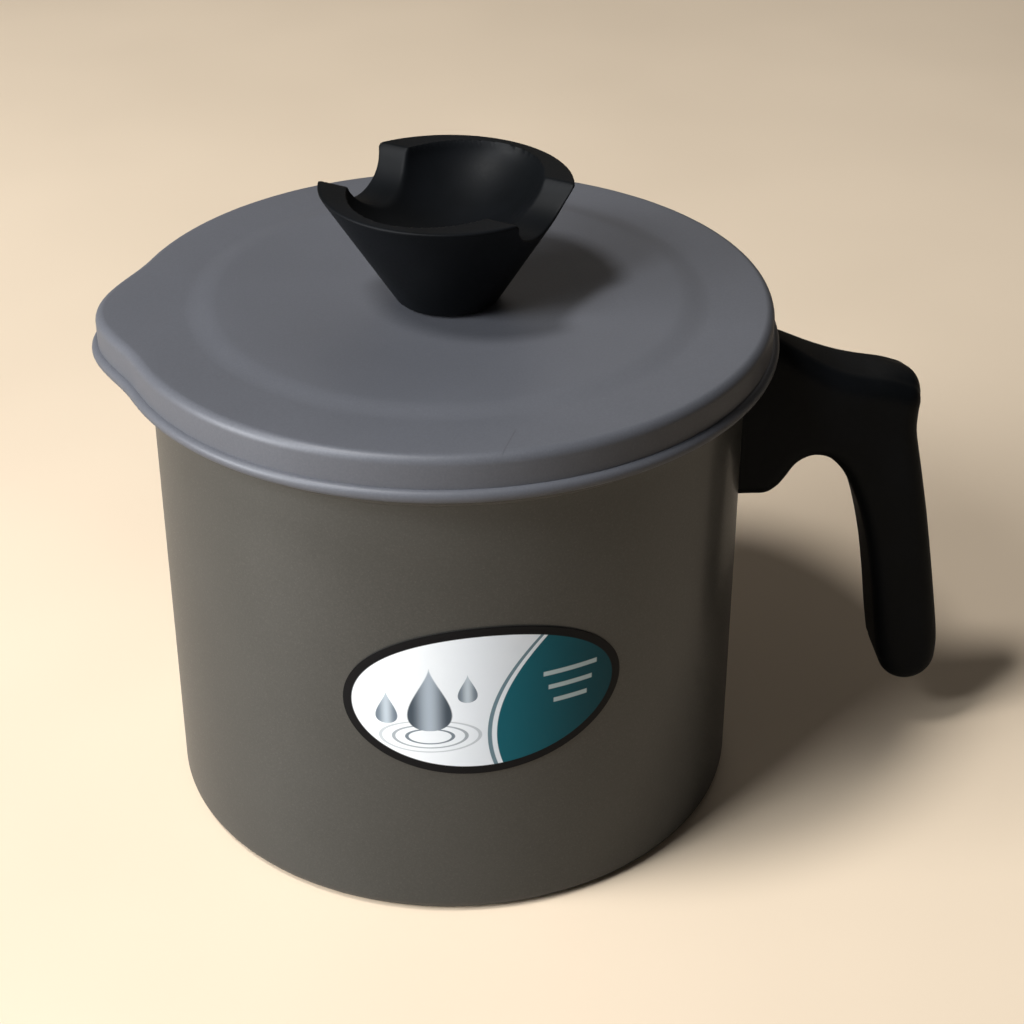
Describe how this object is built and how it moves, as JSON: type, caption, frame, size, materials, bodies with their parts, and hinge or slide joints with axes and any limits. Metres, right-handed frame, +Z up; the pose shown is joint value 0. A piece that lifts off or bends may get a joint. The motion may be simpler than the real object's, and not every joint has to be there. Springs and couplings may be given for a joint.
{
  "type": "oil strainer pot",
  "caption": "Lidded cooking fat container with a pouring lip and a side hook handle; the lid lifts off by a scooped knob and a mesh strainer lifts out of the pot.",
  "frame": {"origin": "middle of the pot's flat base, on the surface it stands on", "axes": "+Z up along the pot's axis, +X towards the handle, -X towards the pouring lip"},
  "size_m": [0.2076, 0.1548, 0.1554],
  "materials": {
    "pot_coating": "warm grey-brown metallic non-stick coating, satin, fine speckle",
    "lid_coating": "cool grey coating, fine matt texture",
    "black_moulding": "black moulded phenolic, satin",
    "stainless": "stainless steel, bright",
    "brass": "machined brass",
    "label_print": "printed film sticker, soft gloss"
  },
  "bodies": {
    "pot": {"pot_body": "pot_coating", "front_label": "label_print", "handle_bracket": "stainless", "bracket_nut": "stainless", "handle": "black_moulding", "handle_washer": "stainless", "handle_screw": "stainless"},
    "strainer": {"strainer_basket": "stainless", "strainer_mesh": "stainless", "strainer_clamp_ring": "stainless"},
    "lid": {"lid": "lid_coating", "knob": "black_moulding", "knob_insert": "brass", "knob_washer": "stainless", "knob_screw": "stainless"}
  },
  "joints": [
    {"name": "strainer_lift", "type": "slide", "parent": "pot", "child": "strainer", "axis": [0, 0, 1], "range_m": [0, 0.06]},
    {"name": "lid_lift", "type": "slide", "parent": "strainer", "child": "lid", "axis": [0, 0, 1], "range_m": [0, 0.1]}
  ]
}
